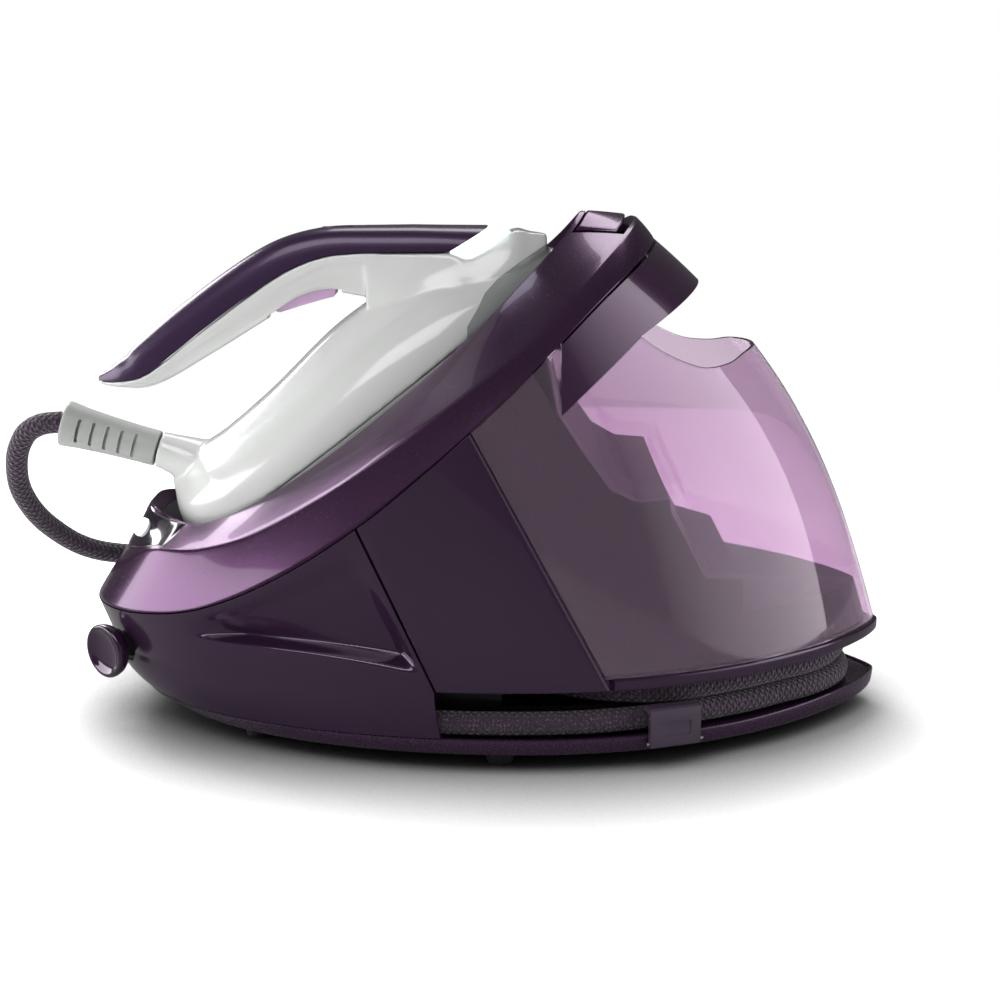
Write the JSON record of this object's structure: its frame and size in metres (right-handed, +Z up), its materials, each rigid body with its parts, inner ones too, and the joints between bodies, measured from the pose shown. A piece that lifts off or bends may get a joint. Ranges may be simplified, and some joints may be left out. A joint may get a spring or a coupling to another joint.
{
  "type": "steam generator iron",
  "caption": "Steam generator iron: a base with removable water tank, tilted iron rest, stored steam hose and controls, and an iron with trigger and open handle.",
  "frame": {"origin": "on the floor under the middle of the object, hose left out", "axes": "+X towards the nose of the base, where the water tank is; -Y is the near side with the hose clip; +Z up"},
  "size_m": [0.5282, 0.2619, 0.2971],
  "materials": {
    "aubergine_gloss": "gloss",
    "lilac_gloss": "pearl gloss",
    "tank_clear": "tinted translucent",
    "white_gloss": "gloss",
    "grey_satin": "satin",
    "purple_satin": "satin",
    "lilac_clear": "tinted translucent",
    "light_white": "lit diffuser",
    "black_rubber": "matt",
    "dark_plastic": "satin",
    "aluminium": "cast",
    "steel": "brushed",
    "brass": "turned",
    "board_green": "solder mask",
    "silicone": "satin",
    "braid": "woven braid"
  },
  "bodies": {
    "base": {"base_plate": "aubergine_gloss", "foot_near": "black_rubber", "foot_far": "black_rubber", "foot_heel_near": "black_rubber", "foot_heel_far": "black_rubber", "foot_nose": "black_rubber", "dock_frame": "aubergine_gloss", "slot_wall": "dark_plastic", "rear_housing": "aubergine_gloss", "side_panel_near": "aubergine_gloss", "side_panel_far": "aubergine_gloss", "tray_ring": "lilac_gloss", "iron_tray": "dark_plastic", "rest_pad_front": "silicone", "rest_pad_mid": "silicone", "rest_pad_heel": "silicone", "control_panel": "dark_plastic", "switch_board": "board_green", "decalc_boss": "dark_plastic", "clip_pin": "steel", "cord_gland": "dark_plastic", "chassis_core": "dark_plastic", "boiler": "steel", "boiler_heater": "aluminium", "thermostat": "steel", "safety_valve": "brass", "water_pump": "dark_plastic", "suction_pipe": "silicone", "feed_pipe": "silicone", "steam_valve": "brass", "steam_pipe": "silicone", "outlet_pipe": "silicone", "hose_outlet": "brass", "control_board": "board_green", "hose_stored": "braid", "tank_valve": "dark_plastic", "hose_loop": "braid"},
    "power_key": {"power_button": "light_white"},
    "steam_key": {"steam_button": "light_white"},
    "eco_key": {"eco_button": "light_white"},
    "carry_lock": {"carry_lock_button": "lilac_gloss", "lock_latch": "steel"},
    "tank": {"water_tank": "tank_clear", "tank_cap": "aubergine_gloss"},
    "decalc_ring": {"decalc_seal": "silicone"},
    "decalc_cap": {"decalc_knob": "aubergine_gloss", "decalc_plug": "dark_plastic"},
    "clip": {"hose_clip": "purple_satin"},
    "iron": {"soleplate": "aluminium", "steam_chamber": "aluminium", "iron_skirt": "grey_satin", "iron_shell": "white_gloss", "handle_grip": "grey_satin", "handle_cover": "purple_satin", "status_light": "light_white", "trigger_switch": "dark_plastic", "iron_board": "board_green", "cord_guard": "grey_satin"},
    "trigger": {"steam_trigger": "lilac_clear"},
    "mode_key": {"mode_button": "purple_satin"}
  },
  "joints": [
    {"name": "iron_lift", "type": "slide", "parent": "base", "child": "iron", "axis": [-0.6101, 0, 0.7923], "range_m": [0, 0.12], "deforming": ["hose_loop"]},
    {"name": "steam_trigger_pull", "type": "hinge", "parent": "iron", "child": "trigger", "pos_m": [-0.083, 0, 0.253], "axis": [0, 1, 0], "range_deg": [0, 6], "stiffness_Nm_per_rad": 0.4, "springref_deg": -5.73},
    {"name": "mode_press", "type": "slide", "parent": "iron", "child": "mode_key", "axis": [0, 0, -1], "range_m": [0, 0.001], "stiffness_N_per_m": 900, "springref_m": -0.0015},
    {"name": "power_press", "type": "slide", "parent": "base", "child": "power_key", "axis": [0.8641, 0, -0.5034], "range_m": [0, 0.001], "stiffness_N_per_m": 900, "springref_m": -0.0015},
    {"name": "steam_press", "type": "slide", "parent": "base", "child": "steam_key", "axis": [0.7506, -0.3751, -0.544], "range_m": [0, 0.001], "stiffness_N_per_m": 900, "springref_m": -0.0015},
    {"name": "eco_press", "type": "slide", "parent": "base", "child": "eco_key", "axis": [0.7506, 0.3751, -0.544], "range_m": [0, 0.001], "stiffness_N_per_m": 900, "springref_m": -0.0015},
    {"name": "carry_lock_slide", "type": "slide", "parent": "base", "child": "carry_lock", "axis": [0.9677, 0, -0.252], "range_m": [0, 0.003]},
    {"name": "tank_out", "type": "slide", "parent": "base", "child": "tank", "axis": [1, 0, 0], "range_m": [0, 0.15]},
    {"name": "decalc_out", "type": "slide", "parent": "base", "child": "decalc_ring", "axis": [-0.6399, -0.7679, -0.03], "range_m": [0, 0.006]},
    {"name": "decalc_turn", "type": "hinge", "parent": "decalc_ring", "child": "decalc_cap", "pos_m": [-0.212, -0.0525, 0.049], "axis": [-0.6399, -0.7679, -0.03], "range_deg": [0, 360]},
    {"name": "hose_clip_open", "type": "hinge", "parent": "base", "child": "clip", "pos_m": [0.111, -0.1093, 0.0156], "axis": [0.9455, 0.3256, 0], "range_deg": [0, 75]}
  ],
  "couplings": [
    {"joint": "decalc_out", "follows": "decalc_turn", "m_per_rad": 0.00095493}
  ]
}
